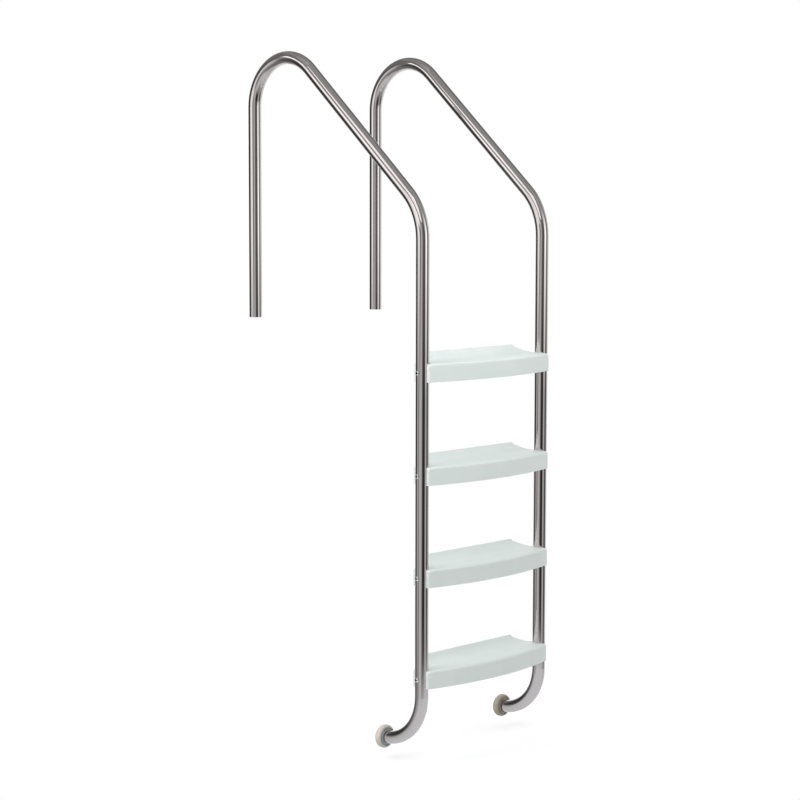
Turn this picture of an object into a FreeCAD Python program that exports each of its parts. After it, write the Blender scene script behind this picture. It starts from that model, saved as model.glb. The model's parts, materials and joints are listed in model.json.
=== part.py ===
import FreeCAD, Part
import math
import os

from FreeCAD import Vector

os.makedirs("parts", exist_ok=True)

# Pool ladder with two bent tube rails and four moulded treads
# Millimetres, up is +Z, treads run along +X, the deck lies toward +Y
# The origin is the centre of the left deck leg's cut bottom end

# Overall layout
rail_spacing = 508.0
leg_to_upright = 681.0
tread_names = ["top", "upper", "lower", "bottom"]
tread_pitch = 287.9
top_tread_bottom_z = -147.7
straight_below_last_tread = 26.6

# Rail tube and its bent centreline in the Y-Z plane
tube_od = 38.1
tube_wall = 1.65
arch_corner_z = 931.8
knee_corner_z = 323.3
arch_radius = 140.5
knee_radius = 173.8
foot_radius = 138.0
foot_stub = 8.0

# Tread shell, its depth measured from the tube's centre
tread_end_overhang = 3.0
tread_front_end_y = 28.0
tread_front_bow = 35.0
tread_rear_end_y = 29.0
tread_shoulder_start_x = 16.0
tread_shoulder_end_x = 76.0
tread_shoulder_sweep = 1.7
tread_level_height = 53.7
tread_fall_angle = 1.5
tread_end_height = 50.0
end_scoop_radius = 90.0
rear_scoop_start_y = 16.0
rear_scoop_radius = 42.7
rear_scoop_end_angle = 60.0
rear_rim_radius = 3.0
tread_skin = 4.5
tread_edge_round = 7.0
tread_crease_round = 15.0
tread_front_corner_round = 7.0
tread_rib_thickness = 3.0
tread_rib_recess = 5.0
cross_rib_count = 5
cross_rib_end_margin = 42.0
long_rib_y = 21.0
nut_room = 14.0
saddle_wall = 6.0
seat_gap = 0.3

# Tread bolts and nuts
bolt_diameter = 8.0
bolt_head_diameter = 13.5
bolt_head_height = 5.5
bolt_height_in_tread = 25.5
bolt_head_rim = 1.0
bolt_boss_half = 12.0
bolt_boss_depth = 11.65
bolt_tail = 3.0
bolt_tip_bevel = 1.0
nut_flats = 13.0
nut_height = 7.0
nut_flange_diameter = 17.5
nut_flange_height = 1.6

# Wall bumpers
bumper_diameter = 66.0
bumper_thickness = 21.0
bumper_wall_round = 8.0
bumper_back_round = 7.0
bumper_socket_depth = 12.0
bumper_recess_depth = 5.0
bumper_outer_wall = 6.5
bumper_lip_wall = 2.4

# Derived values
tube_r = tube_od / 2.0
bore_r = tube_r - tube_wall
upright_y = -leg_to_upright
mid_x = rail_spacing / 2.0
hole_r = bolt_diameter / 2.0 + seat_gap
saddle_r = tube_r + seat_gap
boss_face_x = saddle_r + bolt_boss_depth
bolt_end_x = boss_face_x + seat_gap + nut_height + bolt_tail
tread_bottoms = [top_tread_bottom_z - tread_pitch * i for i in range(len(tread_names))]
foot_z = tread_bottoms[-1] - straight_below_last_tread - foot_radius
rail_end_y = upright_y + foot_radius + foot_stub
tread_depth = tread_front_end_y + tread_front_bow
beyond = 2.0 * tread_depth
along_x = Vector(1, 0, 0)
along_y = Vector(0, 1, 0)
along_z = Vector(0, 0, 1)


def direction(a, b):
    return (b - a).normalize()


def ring_face(centre, axis, outer_r, inner_r):
    outer = Part.Wire(Part.makeCircle(outer_r, centre, axis))
    if inner_r <= 0:
        return Part.Face(outer)
    inner = Part.Wire(Part.makeCircle(inner_r, centre, axis))
    return Part.Face(outer).cut(Part.Face(inner)).Faces[0]


def straight_tube(a, b, outer_r, inner_r):
    return ring_face(a, direction(a, b), outer_r, inner_r).extrude(b - a)


def bent_tube(start, d_in, d_out, radius, outer_r, inner_r):
    # The bend leaves start along d_in and ends heading along d_out
    normal = d_in.cross(d_out).normalize()
    inward = normal.cross(d_in)
    centre = start + inward * radius
    turn = math.degrees(d_in.getAngle(d_out))
    face = ring_face(start, d_in, outer_r, inner_r)
    end = centre + FreeCAD.Rotation(normal, turn).multVec(start - centre)
    return face.revolve(centre, normal, turn), end


def rail_path():
    # Corners of the centreline, from the leg's cut end to the foot
    points = [
        Vector(0, 0, 0),
        Vector(0, 0, arch_corner_z),
        Vector(0, upright_y, knee_corner_z),
        Vector(0, upright_y, foot_z),
        Vector(0, rail_end_y, foot_z),
    ]
    return points, [arch_radius, knee_radius, foot_radius]


def tube_along_path(outer_r, inner_r):
    points, radii = rail_path()
    pieces = []
    here = points[0]
    for i, radius in enumerate(radii):
        d_in = direction(points[i], points[i + 1])
        d_out = direction(points[i + 1], points[i + 2])
        half_turn = d_in.getAngle(d_out) / 2.0
        bend_start = points[i + 1] - d_in * (radius * math.tan(half_turn))
        pieces.append(straight_tube(here, bend_start, outer_r, inner_r))
        bend, here = bent_tube(bend_start, d_in, d_out, radius, outer_r, inner_r)
        pieces.append(bend)
    pieces.append(straight_tube(here, points[-1], outer_r, inner_r))
    return pieces[0].fuse(pieces[1:]).removeSplitter()


def rail(x):
    tube = tube_along_path(tube_r, bore_r)
    for bottom in tread_bottoms:
        start = Vector(-tube_od, upright_y, bottom + bolt_height_in_tread)
        tube = tube.cut(Part.makeCylinder(hole_r, 2.0 * tube_od, start, along_x))
    tube.translate(Vector(x, 0, 0))
    return tube.Solids[0]


def section_point(centre, radius, angle):
    # Point on a circle in the Y-Z plane, the angle counted from straight down toward +Y
    a = math.radians(angle)
    return centre + Vector(0, radius * math.sin(a), -radius * math.cos(a))


def scoop_centre():
    start = Vector(0, rear_scoop_start_y, tread_level_height)
    return section_point(start, rear_scoop_radius, tread_fall_angle + 180.0)


def rim_centre():
    reach = rear_scoop_radius + rear_rim_radius
    return section_point(scoop_centre(), reach, rear_scoop_end_angle)


def tread_rear_y():
    return rim_centre().y + rear_rim_radius


def shoulder_points():
    # Rear edge of one end in plan, swinging out until it is just past the rear face
    points = []
    steps = 5
    swing = tread_rear_y() + 1.0 - tread_rear_end_y
    for i in range(steps + 1):
        t = i / steps
        x = tread_shoulder_start_x + t * (tread_shoulder_end_x - tread_shoulder_start_x)
        points.append((x, tread_rear_end_y + swing * t ** tread_shoulder_sweep))
    return points


def plan_wire(inset):
    # Tread outline seen from above, drawn in from the outside by inset
    end_x = -tread_end_overhang + inset
    front_end_y = -tread_front_end_y + inset
    front_mid_y = -tread_depth + inset
    front_left = Vector(end_x, front_end_y, 0)
    front_right = Vector(rail_spacing - end_x, front_end_y, 0)
    front_mid = Vector(mid_x, front_mid_y, 0)
    left = [Vector(end_x, tread_rear_end_y - inset, 0)]
    for x, y in shoulder_points():
        left.append(Vector(x + 0.6 * inset, y - 0.9 * inset, 0))
    right = [Vector(rail_spacing - p.x, p.y, 0) for p in reversed(left)]
    left_curve = Part.BSplineCurve()
    left_curve.interpolate(left)
    right_curve = Part.BSplineCurve()
    right_curve.interpolate(right)
    edges = [
        Part.Arc(front_left, front_mid, front_right).toShape(),
        Part.LineSegment(front_right, right[-1]).toShape(),
        right_curve.toShape(),
        Part.LineSegment(right[0], left[-1]).toShape(),
        left_curve.toShape(),
        Part.LineSegment(left[0], front_left).toShape(),
    ]
    return Part.Wire(Part.__sortEdges__(edges))


def scoop_prism(inset):
    # Everything under the top surface and ahead of the rear face, drawn in by inset
    centre = scoop_centre()
    radius = rear_scoop_radius + inset
    rear = tread_rear_y() - inset
    start = section_point(centre, radius, tread_fall_angle)
    front_y = -beyond
    fall = math.tan(math.radians(tread_fall_angle))
    front = Vector(0, front_y, start.z - (start.y - front_y) * fall)
    edges = [Part.LineSegment(front, start).toShape()]
    if inset > 0:
        last = math.degrees(math.asin((rear - centre.y) / radius))
    else:
        last = rear_scoop_end_angle
    middle = section_point(centre, radius, (tread_fall_angle + last) / 2.0)
    end = section_point(centre, radius, last)
    edges.append(Part.Arc(start, middle, end).toShape())
    if inset <= 0:
        rim = rim_centre()
        rim_end = rim + along_y * rear_rim_radius
        rim_middle = rim + (end - rim + rim_end - rim).normalize() * rear_rim_radius
        edges.append(Part.Arc(end, rim_middle, rim_end).toShape())
        end = rim_end
    low_rear = Vector(0, rear, -beyond)
    low_front = Vector(0, front_y, -beyond)
    edges.append(Part.LineSegment(end, low_rear).toShape())
    edges.append(Part.LineSegment(low_rear, low_front).toShape())
    edges.append(Part.LineSegment(low_front, front).toShape())
    face = Part.Face(Part.Wire(edges))
    face.translate(along_x * -beyond)
    return face.extrude(along_x * (rail_spacing + 2.0 * beyond))


def end_cylinders(radius):
    # Upright cylinders about both tubes
    ends = []
    for x in (0.0, rail_spacing):
        start = Vector(x, 0, -beyond)
        ends.append(Part.makeCylinder(radius, 2.0 * beyond, start, along_z))
    return ends


def end_scoops(inset):
    # Hollows across the tread's depth that lower its top toward each tube
    radius = end_scoop_radius + inset
    z = tread_end_height + end_scoop_radius
    tools = []
    for x in (-tread_end_overhang, rail_spacing + tread_end_overhang):
        start = Vector(x, -beyond, z)
        tools.append(Part.makeCylinder(radius, 2.0 * beyond, start, along_y))
    return tools


def rounded(shape, radius, wanted):
    # Rounds the edges whose bounding box meets the test
    edges = [edge for edge in shape.Edges if wanted(edge.BoundBox)]
    return shape.makeFillet(radius, edges).Solids[0]


def is_front_corner(box):
    return box.ZLength > 1.0 and box.YMax < 0 and box.XLength + box.YLength < 0.1


def is_top_crease(box):
    # Where the level top meets the rear scoop and the end hollows
    if box.ZMin < tread_end_height - 3.0 or box.YLength < 5.0:
        return False
    if box.XLength > 50.0 or box.YMax > tread_rear_end_y + 3.0:
        return False
    crosses = box.YMin < -tread_front_end_y and box.YMax > rear_scoop_start_y - 1.0
    return crosses or abs(box.YMin - rear_scoop_start_y) < 1.0


def is_front_rim(box):
    if box.ZMin < tread_end_height - 3.0:
        return False
    along_end = box.XLength < 0.01 and box.YLength > tread_front_end_y
    return along_end or box.YMax < -tread_front_end_y + 0.5


def tread_outer():
    block = Part.Face(plan_wire(0.0)).extrude(along_z * beyond)
    block = rounded(block, tread_front_corner_round, is_front_corner)
    body = block.common(scoop_prism(0.0)).cut(end_scoops(0.0)).Solids[0]
    body = rounded(body, tread_crease_round, is_top_crease)
    return rounded(body, tread_edge_round, is_front_rim)


def rib_grid():
    # Ribs under the top skin, kept clear of both nuts
    start = bolt_end_x + nut_room
    first = start + cross_rib_end_margin
    step = (rail_spacing - 2.0 * first) / (cross_rib_count - 1)
    thick = tread_rib_thickness
    low = tread_rib_recess
    ribs = []
    for i in range(cross_rib_count):
        corner = Vector(first + step * i - thick / 2.0, -beyond, low)
        ribs.append(Part.makeBox(thick, 2.0 * beyond, beyond, corner))
    for y in (-long_rib_y, long_rib_y):
        corner = Vector(start, y - thick / 2.0, low)
        ribs.append(Part.makeBox(rail_spacing - 2.0 * start, thick, beyond, corner))
    return ribs


def bolt_bosses():
    # Blocks behind both saddles that carry the tread bolts
    size = 2.0 * bolt_boss_half
    low = bolt_height_in_tread - bolt_boss_half
    bosses = []
    for x in (0.0, rail_spacing - boss_face_x):
        bosses.append(Part.makeBox(boss_face_x, size, size, Vector(x, -bolt_boss_half, low)))
    return bosses


def tread():
    body = tread_outer()
    hollow = Part.Face(plan_wire(tread_skin)).extrude(along_z * (beyond + 1.0))
    hollow.translate(Vector(0, 0, -1))
    hollow = hollow.common(scoop_prism(tread_skin)).cut(end_scoops(tread_skin))
    hollow = hollow.cut(end_cylinders(saddle_r + saddle_wall) + bolt_bosses() + rib_grid())
    body = body.cut(hollow)
    body = body.cut(end_cylinders(saddle_r))
    start = Vector(-beyond, 0, bolt_height_in_tread)
    length = rail_spacing + 2.0 * beyond
    body = body.cut(Part.makeCylinder(hole_r, length, start, along_x))
    return max(body.Solids, key=lambda s: s.Volume)


def bolt():
    # Domed head on the outside of the left rail, shank toward +X
    seat = -saddle_r
    head_r = bolt_head_diameter / 2.0
    shank_r = bolt_diameter / 2.0
    dome = bolt_head_height - bolt_head_rim
    dome_r = (head_r * head_r + dome * dome) / (2.0 * dome)
    crown = Vector(seat - bolt_head_height, 0, 0)
    angle = math.asin(head_r / dome_r) / 2.0
    over_dome = Vector(1.0 - math.cos(angle), 0, math.sin(angle)) * dome_r
    rim = Vector(seat - bolt_head_rim, 0, head_r)
    outline = [
        rim,
        Vector(seat, 0, head_r),
        Vector(seat, 0, shank_r),
        Vector(bolt_end_x - bolt_tip_bevel, 0, shank_r),
        Vector(bolt_end_x, 0, shank_r - bolt_tip_bevel),
        Vector(bolt_end_x, 0, 0),
        crown,
    ]
    edges = [Part.Arc(crown, crown + over_dome, rim).toShape()]
    edges += Part.makePolygon(outline).Edges
    return Part.Face(Part.Wire(edges)).revolve(Vector(0, 0, 0), along_x, 360)


def nut():
    # Flanged hexagon nut bearing on the boss inside the tread's end
    seat = boss_face_x + seat_gap
    start = Vector(seat, 0, 0)
    flange_r = nut_flange_diameter / 2.0
    flange = Part.makeCylinder(flange_r, nut_flange_height, start, along_x)
    corner_r = nut_flats / math.sqrt(3.0)
    points = []
    for i in range(7):
        a = math.radians(60.0 * i + 30.0)
        points.append(Vector(seat, corner_r * math.cos(a), corner_r * math.sin(a)))
    body = Part.Face(Part.makePolygon(points)).extrude(along_x * nut_height)
    bore = Part.makeCylinder(hole_r, 3.0 * nut_height, start - along_x * nut_height, along_x)
    return flange.fuse(body).cut(bore).Solids[0]


def is_end_circle(box, low, high):
    # A circle about Y whose plane lies between low and high
    return box.YLength < 1.0 and box.YMin > low and box.YMax < high


def bumper(x):
    # Round rubber puck that turns its wide round face to the wall
    t = bumper_thickness
    outer_r = bumper_diameter / 2.0
    puck = Part.makeCylinder(outer_r, t, Vector(0, 0, 0), along_y)
    puck = rounded(puck, bumper_wall_round, lambda box: is_end_circle(box, t / 2.0, 2.0 * t))
    puck = rounded(puck, bumper_back_round, lambda box: is_end_circle(box, -t, 1.0))
    below = Vector(0, -t, 0)
    socket = Part.makeCylinder(saddle_r, t + bumper_socket_depth + seat_gap, below, along_y)
    recess_r = outer_r - bumper_outer_wall
    recess = Part.makeCylinder(recess_r, t + bumper_recess_depth, below, along_y)
    lip = Part.makeCylinder(saddle_r + bumper_lip_wall, 3.0 * t, below, along_y)
    puck = puck.cut(recess.cut(lip)).cut(socket)
    puck.translate(Vector(x, rail_end_y - bumper_socket_depth, foot_z))
    return puck.Solids[0]


def mirrored(shape):
    return shape.mirror(Vector(mid_x, 0, 0), along_x)


def save(shape, name):
    shape.exportStep(os.path.join("parts", name + ".step"))


save(rail(0.0), "left_rail")
save(rail(rail_spacing), "right_rail")

tread_shape = tread()
bolt_shape = bolt()
nut_shape = nut()
for name, bottom in zip(tread_names, tread_bottoms):
    piece = tread_shape.copy()
    piece.translate(Vector(0, upright_y, bottom))
    save(piece, name + "_tread")
    for label, source in (("bolt", bolt_shape), ("nut", nut_shape)):
        piece = source.copy()
        piece.translate(Vector(0, upright_y, bottom + bolt_height_in_tread))
        save(piece, "left_" + label + "_" + name)
        save(mirrored(piece), "right_" + label + "_" + name)

save(bumper(0.0), "left_bumper")
save(bumper(rail_spacing), "right_bumper")
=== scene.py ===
"""Looks, light and camera for the pool ladder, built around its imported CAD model."""

import json
import math

import bpy
from mathutils import Matrix, Vector

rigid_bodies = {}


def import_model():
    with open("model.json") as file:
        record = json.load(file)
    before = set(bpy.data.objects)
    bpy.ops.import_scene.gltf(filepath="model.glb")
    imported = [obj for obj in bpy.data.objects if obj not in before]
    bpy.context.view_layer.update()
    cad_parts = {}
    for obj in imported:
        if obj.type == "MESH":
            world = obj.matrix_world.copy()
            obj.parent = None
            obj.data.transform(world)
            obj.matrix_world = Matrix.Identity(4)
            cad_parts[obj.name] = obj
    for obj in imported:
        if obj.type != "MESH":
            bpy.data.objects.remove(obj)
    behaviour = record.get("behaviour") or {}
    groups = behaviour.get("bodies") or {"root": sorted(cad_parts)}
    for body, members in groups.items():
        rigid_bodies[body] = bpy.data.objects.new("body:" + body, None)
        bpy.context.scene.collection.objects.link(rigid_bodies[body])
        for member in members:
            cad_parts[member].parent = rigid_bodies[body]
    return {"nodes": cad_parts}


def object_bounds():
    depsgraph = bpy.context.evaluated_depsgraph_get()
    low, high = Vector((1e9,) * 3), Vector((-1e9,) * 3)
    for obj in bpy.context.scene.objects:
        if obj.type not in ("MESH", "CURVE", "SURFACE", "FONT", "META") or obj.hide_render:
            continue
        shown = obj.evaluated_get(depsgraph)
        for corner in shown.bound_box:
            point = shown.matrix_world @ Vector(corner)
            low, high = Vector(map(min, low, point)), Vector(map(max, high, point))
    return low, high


# Lengths are in metres and angles in degrees. A level is a brightness, where 1 is white.
# A bearing runs from +X toward +Y, and an elevation up from the horizon.

# Camera at the photograph's viewing angle
CAMERA_PLACE = (-4.39464, -4.81524, 0.4418)
CAMERA_YAW = 46.1603
CAMERA_PITCH_DOWN = 6.0533
CAMERA_ROLL = 0.0957
CAMERA_FOCAL_PX = 2189.465
CAMERA_REACH = 100.0
PHOTO_WIDTH_PX = 800
SENSOR_MM = 36.0

# The CAD model's pieces, and which end along X is the outer one on each side
OUTERMOST = {"left": min, "right": max}
RUNGS = ("top", "upper", "lower", "bottom")

WHITE = (1.0, 1.0, 1.0)

# The darkest and palest tone of each finish
RAIL_TONES = ((0.625, 0.585, 0.578), (0.685, 0.643, 0.637))
FASTENER_TONES = ((0.86, 0.84, 0.83), (0.94, 0.92, 0.91))
TREAD_TONES = ((0.745, 0.812, 0.795), (0.775, 0.838, 0.815))
FLOOR_TONES = ((0.55, 0.55, 0.55), (0.58, 0.58, 0.58))

# The part of a noise's range from 0 to 1 that most of it fills
NOISE_LOW = 0.3
NOISE_HIGH = 0.7

# How fine the polish lines are across a tube, and their share in its wear
POLISH_FINENESS = 12.0
POLISH_SHARE = 0.65

# Painted shade of a drive recess at the crown of each bolt head: a dark round tone, not a hollow
DRIVE_RADIUS = 0.0037
DRIVE_BLEND = 0.0002
DRIVE_PAINTED_SHADE_COLOUR = (0.03, 0.03, 0.03)

# Each bumper's dark, pale and recess tones. The far bumper's dark and pale tones are painted shade, the same
# rubber as the near one made darker and browner, and the near bumper's bluish recess tone is a painted
# reflection
BUMPER_TONES_WITH_PAINTED_SHADE = {
    "left_bumper": ((0.59, 0.55, 0.5), (0.64, 0.605, 0.555), (0.5, 0.565, 0.58)),
    "right_bumper": ((0.4, 0.36, 0.3), (0.445, 0.405, 0.345), (0.55, 0.49, 0.41)),
}
RECESS_RADIUS = 0.0265
RECESS_BLEND = 0.0007

# The floor under the ladder, and the light of its own that makes it read as white to the camera
FLOOR_SIZE = 1.5
FLOOR_DROP = 0.03
FLOOR_OWN_LIGHT = 0.5

# What the metal shows of the floor: a pale patch that fades out with distance from its place
FLOOR_GLOSS_SIZE = 4.2
FLOOR_GLOSS_RISE = 0.002
FLOOR_PALE_PLACE = (-0.054, -0.66, 0.0)
FLOOR_PALE_REACH = (0.25, 1.3)
FLOOR_PALE_LEVEL = 0.8
FLOOR_PALE_COLOUR = (0.93, 0.965, 1.0)

# Light from all round, as (height from 0 straight down to 1 straight up, level)
AMBIENT_LEVELS = ((0.0, 0.3), (0.5, 0.6), (1.0, 0.93))

# Soft lamps, as (name, bearing, elevation, distance, (width, height), level), aimed at the upper treads
LIT_PLACE = (0.254, -0.68, -0.2)
SOFTBOXES = (
    ("key_softbox", 166.0, 47.0, 2.8, (1.2, 1.2), 2.8),
    ("front_softbox", 255.0, 35.0, 1.4, (0.6, 0.6), 5.4),
    ("left_softbox", 158.0, 8.0, 2.4, (0.9, 1.4), 4.6),
)

# The studio that the metal mirrors, a shell round the ladder with walls and a back
STUDIO_CENTRE = (0.254, -0.34, -0.2)
FULL_TURN = 360.0
SHELL_RADIUS = 5.0
SHELL_ELEVATIONS = (-89.0, 89.0)
WALL_BEARINGS = (68.0, 342.0)
WALL_STEPS = (72, 36)
BACK_BEARINGS = (WALL_BEARINGS[1] - FULL_TURN, WALL_BEARINGS[0])
BACK_STEPS = (24, 36)

# Brightness of the walls, as (bearing, level low down, level high up)
WALL_LEVELS = (
    (68.0, 0.6, 0.4),
    (78.0, 0.2, 0.12),
    (92.0, 0.05, 0.05),
    (114.0, 0.05, 0.05),
    (127.0, 0.07, 0.05),
    (133.0, 0.2, 0.2),
    (141.0, 0.62, 1.0),
    (151.0, 0.56, 1.1),
    (160.0, 0.24, 1.2),
    (172.0, 0.22, 1.3),
    (181.0, 0.5, 0.25),
    (190.0, 0.6, 0.1),
    (198.0, 0.6, 0.5),
    (210.0, 0.6, 0.65),
    (219.0, 0.3, 0.42),
    (228.0, 0.06, 0.16),
    (259.0, 0.01, 0.08),
    (268.0, 0.4, 1.0),
    (284.0, 0.62, 1.8),
    (293.0, 0.3, 1.2),
    (300.0, 0.06, 0.25),
    (320.0, 0.1, 0.25),
    (330.0, 0.4, 0.5),
    (342.0, 0.8, 0.95),
    (359.9, 0.8, 0.95),
)

# Brightness of the ground below the walls, as (bearing, level)
GROUND_LEVELS = (
    (68.0, 0.95),
    (80.0, 0.8),
    (91.0, 0.25),
    (96.0, 0.2),
    (130.0, 0.22),
    (160.0, 0.25),
    (178.0, 0.7),
    (212.0, 0.7),
    (226.0, 0.45),
    (250.0, 0.28),
    (290.0, 0.4),
    (342.0, 0.55),
)

# Heights from the studio's centre between which one part of the shell changes into the next
WALL_CHANGE = (-0.5, 0.3)
CEILING_CHANGE = (1.3, 3.3)
CEILING_LEVEL = 0.33
CEILING_SHARE = 0.88
GROUND_CHANGE = (-1.5, -2.35)
NADIR_CHANGE = (-4.2, -4.7)
NADIR_LEVEL = 0.65

# Brightness of the back, as (elevation, level)
BACK_LEVELS = (
    (-89.0, 0.5),
    (-40.0, 0.85),
    (-22.0, 0.95),
    (-9.0, 1.0),
    (20.0, 1.0),
    (27.0, 0.4),
    (38.0, 0.18),
    (58.0, 0.2),
    (72.0, 0.33),
    (89.0, 0.33),
)

# Lit and dark panels inside the shell, as (name, bearings, elevations, level)
PANEL_DISTANCE = 4.7
PANEL_STEPS = (6, 4)
PANELS = (
    ("tall_panel", (168.0, 197.0), (13.0, 69.0), 1.35),
    ("wide_panel", (197.5, 234.0), (24.0, 58.0), 1.35),
    ("dark_panel", (74.0, 146.5), (28.0, 48.0), 0.2),
    ("low_panel", (72.0, 124.0), (-21.5, -11.0), 0.14),
)

# The bright line along the lower side of the arch and the sloping run, as (bearing, elevation)
LEFT_PLACES = (
    (133.0, 25.0),
    (137.0, 22.5),
    (141.0, 19.5),
    (146.0, 18.5),
    (152.0, 20.0),
    (157.0, 20.0),
)

# The thin dark line between two bright ones
LINE_PLACES = (
    (147.0, 41.5),
    (160.0, 41.0),
    (168.0, 40.0),
    (176.0, 37.5),
    (182.0, 36.5),
    (195.5, 31.5),
    (206.0, 25.0),
    (212.0, 21.0),
)

# The grey edge that thins the upper bright line toward the arch
EDGE_PLACES = (
    (164.0, 59.0),
    (170.0, 60.5),
    (178.0, 64.0),
    (184.0, 67.0),
    (191.0, 69.5),
    (199.0, 72.0),
)

# Curved strips inside the shell, as (name, distance, places, width, level)
STRIPS = (
    ("left_panel", 4.7, LEFT_PLACES, 14.0, 1.5),
    ("line_panel", 4.6, LINE_PLACES, 12.0, 0.25),
    ("edge_panel", 4.6, EDGE_PLACES, 12.0, 0.36),
)


# Node helpers

def empty_tree(owner):
    owner.use_nodes = True
    owner.node_tree.nodes.clear()
    return owner.node_tree


def show(tree, shader, output_type="ShaderNodeOutputMaterial"):
    output = tree.nodes.new(output_type)
    tree.links.new(shader, output.inputs["Surface"])


def new_material(name):
    material = bpy.data.materials.new(name)
    tree = empty_tree(material)
    shader = tree.nodes.new("ShaderNodeBsdfPrincipled")
    show(tree, shader.outputs["BSDF"])
    return material, tree, shader


def new_glow(name):
    # A material that only gives light. The caller sets what its surface shows
    material = bpy.data.materials.new(name)
    tree = empty_tree(material)
    return material, tree, tree.nodes.new("ShaderNodeEmission")


def set_or_link(tree, socket, value):
    # A colour or a number is set on the socket, and a node's output is linked to it
    if isinstance(value, tuple):
        socket.default_value = value + (1.0,)
    elif isinstance(value, (int, float)):
        socket.default_value = value
    else:
        tree.links.new(value, socket)


def add_noise(tree, vector, scale, detail, roughness):
    noise = tree.nodes.new("ShaderNodeTexNoise")
    noise.inputs["Scale"].default_value = scale
    noise.inputs["Detail"].default_value = detail
    noise.inputs["Roughness"].default_value = roughness
    tree.links.new(vector, noise.inputs["Vector"])
    return noise.outputs["Fac"]


def add_range(tree, value, low, high, to_low=0.0, to_high=1.0, interpolation="LINEAR"):
    node = tree.nodes.new("ShaderNodeMapRange")
    node.interpolation_type = interpolation
    for socket, number in zip(("From Min", "From Max", "To Min", "To Max"), (low, high, to_low, to_high)):
        node.inputs[socket].default_value = number
    tree.links.new(value, node.inputs["Value"])
    return node.outputs["Result"]


def spread(tree, noise, to_low=0.0, to_high=1.0):
    # Stretches a noise so that most of it fills the whole new range
    return add_range(tree, noise, NOISE_LOW, NOISE_HIGH, to_low, to_high)


def add_math(tree, operation, first, second):
    node = tree.nodes.new("ShaderNodeMath")
    node.operation = operation
    set_or_link(tree, node.inputs[0], first)
    set_or_link(tree, node.inputs[1], second)
    return node.outputs["Value"]


def add_mix(tree, factor, first, second):
    node = tree.nodes.new("ShaderNodeMix")
    node.data_type = "RGBA"
    tree.links.new(factor, node.inputs["Factor"])
    colours = [socket for socket in node.inputs if socket.type == "RGBA"]
    set_or_link(tree, colours[0], first)
    set_or_link(tree, colours[1], second)
    return next(socket for socket in node.outputs if socket.type == "RGBA")


def add_shader_mix(tree, factor, first, second):
    node = tree.nodes.new("ShaderNodeMixShader")
    for socket, value in zip(node.inputs, (factor, first, second)):
        tree.links.new(value, socket)
    return node.outputs["Shader"]


def add_bump(tree, height, strength, distance):
    bump = tree.nodes.new("ShaderNodeBump")
    bump.inputs["Strength"].default_value = strength
    bump.inputs["Distance"].default_value = distance
    tree.links.new(height, bump.inputs["Height"])
    return bump.outputs["Normal"]


def add_distance(tree, place, middle):
    node = tree.nodes.new("ShaderNodeVectorMath")
    node.operation = "DISTANCE"
    tree.links.new(place, node.inputs[0])
    node.inputs[1].default_value = middle
    return node.outputs["Value"]


def add_ramp(tree, factor, stops):
    ramp = tree.nodes.new("ShaderNodeValToRGB")
    tree.links.new(factor, ramp.inputs["Fac"])
    elements = ramp.color_ramp.elements
    elements[0].position = stops[0][0]
    elements[1].position = stops[-1][0]
    for position, _ in stops[1:-1]:
        elements.new(position)
    for element, (_, level) in zip(elements, stops):
        element.color = (level, level, level, 1.0)
    return ramp.outputs["Color"]


def is_ray(tree, *kinds):
    # 1 for light paths of these kinds, and 0 for the others
    path = tree.nodes.new("ShaderNodeLightPath")
    answer = path.outputs["Is " + kinds[0] + " Ray"]
    for kind in kinds[1:]:
        answer = add_math(tree, "MAXIMUM", answer, path.outputs["Is " + kind + " Ray"])
    return answer


def object_point(tree):
    return tree.nodes.new("ShaderNodeTexCoord").outputs["Object"]


def split(tree, vector):
    node = tree.nodes.new("ShaderNodeSeparateXYZ")
    tree.links.new(vector, node.inputs["Vector"])
    return node.outputs


def join(tree, *values):
    node = tree.nodes.new("ShaderNodeCombineXYZ")
    for socket, value in zip(node.inputs, values):
        set_or_link(tree, socket, value)
    return node.outputs["Vector"]


def set_surface(tree, shader, colour, wear, roughness, relief, strength, depth):
    # Colour, a roughness that goes with the wear, and a fine relief
    tree.links.new(colour, shader.inputs["Base Color"])
    tree.links.new(spread(tree, wear, *roughness), shader.inputs["Roughness"])
    tree.links.new(add_bump(tree, relief, strength, depth), shader.inputs["Normal"])


# Materials

def rail_steel():
    material, tree, shader = new_material("rail_steel")
    point = object_point(tree)
    place = split(tree, point)
    # The sideways part of the normal stays the same along a bent rail, so it carries lengthwise polish lines
    normal = tree.nodes.new("ShaderNodeNewGeometry").outputs["Normal"]
    across = add_math(tree, "MULTIPLY", split(tree, normal)["X"], POLISH_FINENESS)
    line_place = join(tree, across, place["Y"], place["Z"])
    lines = add_noise(tree, line_place, scale=5.0, detail=4.0, roughness=0.6)
    clouds = add_noise(tree, point, scale=14.0, detail=3.0, roughness=0.55)
    line_wear = add_math(tree, "MULTIPLY", lines, POLISH_SHARE)
    cloud_wear = add_math(tree, "MULTIPLY", clouds, 1.0 - POLISH_SHARE)
    wear = add_math(tree, "ADD", line_wear, cloud_wear)
    colour = add_mix(tree, spread(tree, wear), *RAIL_TONES)
    set_surface(tree, shader, colour, wear, roughness=(0.03, 0.07),
                relief=lines, strength=0.02, depth=0.0002)
    shader.inputs["Metallic"].default_value = 1.0
    return material


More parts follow.
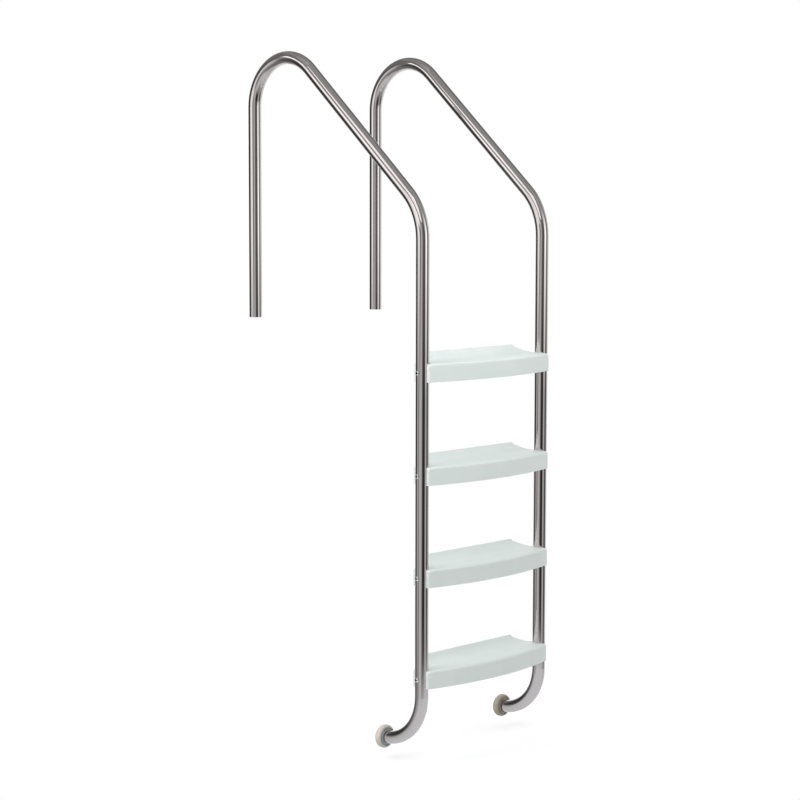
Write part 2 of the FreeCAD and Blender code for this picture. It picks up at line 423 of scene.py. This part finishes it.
def fastener_steel(name, crown=None):
    # Where a crown is given, the domed head gets painted shade there: a dark round tone for a drive recess
    # that is not modelled
    material, tree, shader = new_material(name)
    point = object_point(tree)
    fine = add_noise(tree, point, scale=900.0, detail=3.0, roughness=0.6)
    colour = add_mix(tree, fine, *FASTENER_TONES)
    if crown:
        reach = add_distance(tree, point, crown)
        outside = add_range(tree, reach, DRIVE_RADIUS - DRIVE_BLEND, DRIVE_RADIUS + DRIVE_BLEND)
        # Inside the drive radius the colour is painted shade
        colour = add_mix(tree, outside, DRIVE_PAINTED_SHADE_COLOUR, colour)
    set_surface(tree, shader, colour, fine, roughness=(0.08, 0.16),
                relief=fine, strength=0.08, depth=0.0002)
    shader.inputs["Metallic"].default_value = 1.0
    return material


def tread_plastic():
    material, tree, shader = new_material("tread_plastic")
    point = object_point(tree)
    clouds = add_noise(tree, point, scale=11.0, detail=3.0, roughness=0.5)
    grain = add_noise(tree, point, scale=950.0, detail=2.0, roughness=0.5)
    scuffs = add_noise(tree, point, scale=120.0, detail=4.0, roughness=0.7)
    colour = add_mix(tree, spread(tree, clouds), *TREAD_TONES)
    set_surface(tree, shader, colour, scuffs, roughness=(0.36, 0.5),
                relief=grain, strength=0.18, depth=0.0003)
    shader.inputs["Specular IOR Level"].default_value = 0.45
    return material


def bumper_rubber(name, middle, dark, pale, recess):
    # The recess round the tube, on the side away from the wall, gets the recess tone, which is painted
    # light: a bluish painted reflection on the near bumper
    material, tree, shader = new_material(name)
    point = object_point(tree)
    place = split(tree, point)
    clouds = add_noise(tree, point, scale=45.0, detail=4.0, roughness=0.6)
    grain = add_noise(tree, point, scale=1300.0, detail=2.0, roughness=0.5)
    rubber = add_mix(tree, spread(tree, clouds), dark, pale)
    from_axis = add_distance(tree, join(tree, place["X"], middle.y, place["Z"]), middle)
    rim = add_range(tree, from_axis, RECESS_RADIUS - RECESS_BLEND, RECESS_RADIUS + RECESS_BLEND)
    wall_side = add_range(tree, place["Y"], middle.y - RECESS_BLEND, middle.y + RECESS_BLEND)
    colour = add_mix(tree, add_math(tree, "MAXIMUM", rim, wall_side), recess, rubber)
    set_surface(tree, shader, colour, clouds, roughness=(0.55, 0.7),
                relief=grain, strength=0.25, depth=0.0003)
    return material


def floor_finish():
    material, tree, shader = new_material("floor_finish")
    grain = add_noise(tree, object_point(tree), scale=60.0, detail=3.0, roughness=0.5)
    tree.links.new(add_mix(tree, grain, *FLOOR_TONES), shader.inputs["Base Color"])
    shader.inputs["Roughness"].default_value = 0.9
    shader.inputs["Specular IOR Level"].default_value = 0.0
    set_or_link(tree, shader.inputs["Emission Color"], WHITE)
    own_light = add_math(tree, "MULTIPLY", is_ray(tree, "Camera", "Transmission"), FLOOR_OWN_LIGHT)
    tree.links.new(own_light, shader.inputs["Emission Strength"])
    return material


def floor_gloss_finish():
    # Pale under the feet, and fading out to show the walls farther away
    material, tree, emission = new_glow("floor_gloss_finish")
    set_or_link(tree, emission.inputs["Color"], FLOOR_PALE_COLOUR)
    emission.inputs["Strength"].default_value = FLOOR_PALE_LEVEL
    clear = tree.nodes.new("ShaderNodeBsdfTransparent")
    reach = add_distance(tree, object_point(tree), FLOOR_PALE_PLACE)
    fade = add_range(tree, reach, *FLOOR_PALE_REACH, interpolation="SMOOTHSTEP")
    show(tree, add_shader_mix(tree, fade, emission.outputs["Emission"], clear.outputs["BSDF"]))
    return material


def shell_finish():
    # The studio's grey, dark and lit parts, by bearing and height
    material, tree, emission = new_glow("shell_finish")
    place = split(tree, object_point(tree))
    height = place["Z"]
    # The radial gradient starts opposite +X, so it gets the place turned half round
    back_x = add_math(tree, "MULTIPLY", place["X"], -1.0)
    back_y = add_math(tree, "MULTIPLY", place["Y"], -1.0)
    around = tree.nodes.new("ShaderNodeTexGradient")
    around.gradient_type = "RADIAL"
    tree.links.new(join(tree, back_x, back_y, 0.0), around.inputs["Vector"])
    turn = around.outputs["Fac"]
    low = add_ramp(tree, turn, [(bearing / FULL_TURN, level) for bearing, level, _ in WALL_LEVELS])
    high = add_ramp(tree, turn, [(bearing / FULL_TURN, level) for bearing, _, level in WALL_LEVELS])
    wall = add_mix(tree, add_range(tree, height, *WALL_CHANGE), low, high)
    ceiling = add_range(tree, height, *CEILING_CHANGE, 0.0, CEILING_SHARE)
    roofed = add_mix(tree, ceiling, wall, (CEILING_LEVEL,) * 3)
    ground = add_ramp(tree, turn, [(bearing / FULL_TURN, level) for bearing, level in GROUND_LEVELS])
    ground = add_mix(tree, add_range(tree, height, *NADIR_CHANGE), ground, (NADIR_LEVEL,) * 3)
    colour = add_mix(tree, add_range(tree, height, *GROUND_CHANGE), roofed, ground)
    tree.links.new(colour, emission.inputs["Color"])
    show(tree, emission.outputs["Emission"])
    return material


def back_finish():
    # White at the height of the ladder, as the camera sees it, and darker above and below
    material, tree, emission = new_glow("back_finish")
    height = add_range(tree, split(tree, object_point(tree))["Z"], -SHELL_RADIUS, SHELL_RADIUS)
    stops = [(0.5 + 0.5 * math.sin(math.radians(rise)), level) for rise, level in BACK_LEVELS]
    tree.links.new(add_ramp(tree, height, stops), emission.inputs["Color"])
    show(tree, emission.outputs["Emission"])
    return material


def lit_finish(level):
    material, tree, emission = new_glow("lit_finish")
    emission.inputs["Strength"].default_value = level
    show(tree, emission.outputs["Emission"])
    return material


def middle_of(node):
    corners = [Vector(corner) for corner in node.bound_box]
    return sum(corners, Vector()) / len(corners)


def crown_of(bolt, outermost):
    middle = middle_of(bolt)
    return Vector((outermost(corner[0] for corner in bolt.bound_box), middle.y, middle.z))


def dress(node, material):
    node.data.materials.clear()
    node.data.materials.append(material)


def dress_ladder(nodes):
    steel = rail_steel()
    for side in OUTERMOST:
        dress(nodes[side + "_rail"], steel)
    plastic = tread_plastic()
    for rung in RUNGS:
        dress(nodes[rung + "_tread"], plastic)
    # The far bumper's rubber is a painted-shade copy of the near one, and the near bumper's recess tone is a
    # painted reflection
    for name, tones in BUMPER_TONES_WITH_PAINTED_SHADE.items():
        dress(nodes[name], bumper_rubber(name + "_rubber", middle_of(nodes[name]), *tones))
    nut_steel = fastener_steel("nut_steel")
    for side, outermost in OUTERMOST.items():
        for rung in RUNGS:
            bolt = side + "_bolt_" + rung
            dress(nodes[bolt], fastener_steel(bolt + "_steel", crown_of(nodes[bolt], outermost)))
            dress(nodes[side + "_nut_" + rung], nut_steel)


# Shapes of the studio's pieces

def flat_square(size):
    half = size / 2.0
    corners = [(-half, -half, 0.0), (half, -half, 0.0), (half, half, 0.0), (-half, half, 0.0)]
    return corners, [(0, 1, 2, 3)]


def place_at(distance, bearing, elevation):
    # The place at a distance from the middle, toward a bearing and an elevation
    turn = math.radians(bearing)
    rise = math.radians(elevation)
    flat = distance * math.cos(rise)
    return flat * math.cos(turn), flat * math.sin(turn), distance * math.sin(rise)


def dome_patch(radius, bearings, elevations, steps):
    points = []
    faces = []
    for i in range(steps[0] + 1):
        bearing = bearings[0] + (bearings[1] - bearings[0]) * i / steps[0]
        for j in range(steps[1] + 1):
            elevation = elevations[0] + (elevations[1] - elevations[0]) * j / steps[1]
            points.append(place_at(radius, bearing, elevation))
    row = steps[1] + 1
    for i in range(steps[0]):
        for j in range(steps[1]):
            corner = i * row + j
            faces.append((corner, corner + row, corner + row + 1, corner + 1))
    return points, faces


def dome_strip(radius, places, width):
    points = []
    for bearing, elevation in places:
        for offset in (-width / 2.0, width / 2.0):
            points.append(place_at(radius, bearing, elevation + offset))
    faces = [(2 * i, 2 * i + 2, 2 * i + 3, 2 * i + 1) for i in range(len(places) - 1)]
    return points, faces


# Studio, light and camera

def add_to_scene(name, data):
    item = bpy.data.objects.new(name, data)
    bpy.context.scene.collection.objects.link(item)
    return item


def add_mesh(name, shape, material):
    points, faces = shape
    mesh = bpy.data.meshes.new(name)
    mesh.from_pydata(points, [], faces)
    mesh.materials.append(material)
    return add_to_scene(name, mesh)


def add_stage_piece(name, shape, material):
    # A part of the studio that shows only in what is shiny
    piece = add_mesh(name, shape, material)
    piece.location = STUDIO_CENTRE
    piece.visible_camera = False
    piece.visible_diffuse = False
    piece.visible_transmission = False
    piece.visible_shadow = False
    return piece


def add_floor(lowest):
    floor = add_mesh("floor", flat_square(FLOOR_SIZE), floor_finish())
    floor.location = (STUDIO_CENTRE[0], STUDIO_CENTRE[1], lowest - FLOOR_DROP)
    floor.visible_glossy = False
    gloss = add_stage_piece("floor_gloss", flat_square(FLOOR_GLOSS_SIZE), floor_gloss_finish())
    gloss.location = floor.location + Vector((0.0, 0.0, FLOOR_GLOSS_RISE))


def add_studio():
    walls = dome_patch(SHELL_RADIUS, WALL_BEARINGS, SHELL_ELEVATIONS, WALL_STEPS)
    add_stage_piece("studio_walls", walls, shell_finish())
    back = dome_patch(SHELL_RADIUS, BACK_BEARINGS, SHELL_ELEVATIONS, BACK_STEPS)
    add_stage_piece("studio_back", back, back_finish())
    for name, bearings, elevations, level in PANELS:
        panel = dome_patch(PANEL_DISTANCE, bearings, elevations, PANEL_STEPS)
        add_stage_piece(name, panel, lit_finish(level))
    for name, distance, places, width, level in STRIPS:
        add_stage_piece(name, dome_strip(distance, places, width), lit_finish(level))


def add_background(tree, colour):
    node = tree.nodes.new("ShaderNodeBackground")
    set_or_link(tree, node.inputs["Color"], colour)
    return node.outputs["Background"]


def add_world():
    # White where it is seen, also in metal, and a plain level of light on everything else
    world = bpy.data.worlds.new("studio_world")
    bpy.context.scene.world = world
    tree = empty_tree(world)
    direction = tree.nodes.new("ShaderNodeTexCoord").outputs["Generated"]
    height = add_range(tree, split(tree, direction)["Z"], -1.0, 1.0)
    ambient = add_background(tree, add_ramp(tree, height, AMBIENT_LEVELS))
    white = add_background(tree, WHITE)
    seen = is_ray(tree, "Camera", "Transmission", "Glossy")
    show(tree, add_shader_mix(tree, seen, ambient, white), "ShaderNodeOutputWorld")


def add_softbox(name, bearing, elevation, distance, size, level):
    # A soft lamp whose face reads as bright as the level
    lamp = bpy.data.lights.new(name, "AREA")
    lamp.shape = "RECTANGLE"
    lamp.size, lamp.size_y = size
    lamp.energy = level * math.pi * size[0] * size[1]
    box = add_to_scene(name, lamp)
    outward = Vector(place_at(1.0, bearing, elevation))
    box.location = Vector(LIT_PLACE) + outward * distance
    box.rotation_euler = outward.to_track_quat("Z", "Y").to_euler()
    box.visible_camera = False
    box.visible_glossy = False


def add_camera():
    yaw = math.radians(CAMERA_YAW)
    pitch = math.radians(CAMERA_PITCH_DOWN)
    roll = math.radians(CAMERA_ROLL)
    ahead = Vector((math.sin(yaw) * math.cos(pitch), math.cos(yaw) * math.cos(pitch), -math.sin(pitch)))
    level_right = Vector((math.cos(yaw), -math.sin(yaw), 0.0))
    level_up = level_right.cross(ahead)
    right = level_right * math.cos(roll) + level_up * math.sin(roll)
    up = level_up * math.cos(roll) - level_right * math.sin(roll)
    data = bpy.data.cameras.new("camera")
    data.sensor_width = SENSOR_MM
    data.lens = CAMERA_FOCAL_PX / PHOTO_WIDTH_PX * SENSOR_MM
    data.clip_end = CAMERA_REACH
    camera = add_to_scene("camera", data)
    turn = Matrix((right, up, -ahead)).transposed().to_4x4()
    camera.matrix_world = Matrix.Translation(CAMERA_PLACE) @ turn
    bpy.context.scene.camera = camera


for item in list(bpy.data.objects):
    bpy.data.objects.remove(item)

bpy.context.scene.view_settings.view_transform = "Standard"
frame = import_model()
cad_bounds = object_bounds()

dress_ladder(frame["nodes"])
add_floor(cad_bounds[0][2])
add_world()
add_studio()
for softbox in SOFTBOXES:
    add_softbox(*softbox)
add_camera()
